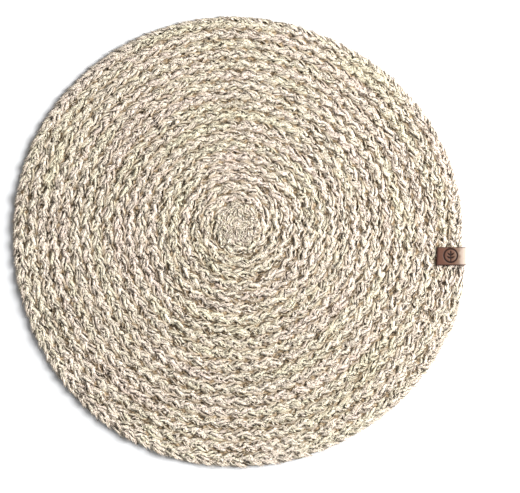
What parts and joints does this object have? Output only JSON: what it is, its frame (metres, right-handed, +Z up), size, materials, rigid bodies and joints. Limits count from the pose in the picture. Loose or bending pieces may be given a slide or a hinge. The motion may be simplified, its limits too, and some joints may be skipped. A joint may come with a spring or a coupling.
{
  "type": "round braided seagrass placemat",
  "caption": "Round flat placemat of braided seagrass wound into a spiral, with a small leather tag folded over its rim.",
  "frame": {"origin": "on the flat underside, under the middle of the mat's rim", "axes": "+Z up through the mat's thickness, +X from the middle of the mat to the leather tag"},
  "size_m": [0.3829, 0.3786, 0.0078],
  "materials": {
    "seagrass": "matte natural straw",
    "leather": "smooth brown, slight sheen"
  },
  "bodies": {
    "root": {"braided_coil": "seagrass", "leather_tag": "leather"}
  },
  "joints": []
}
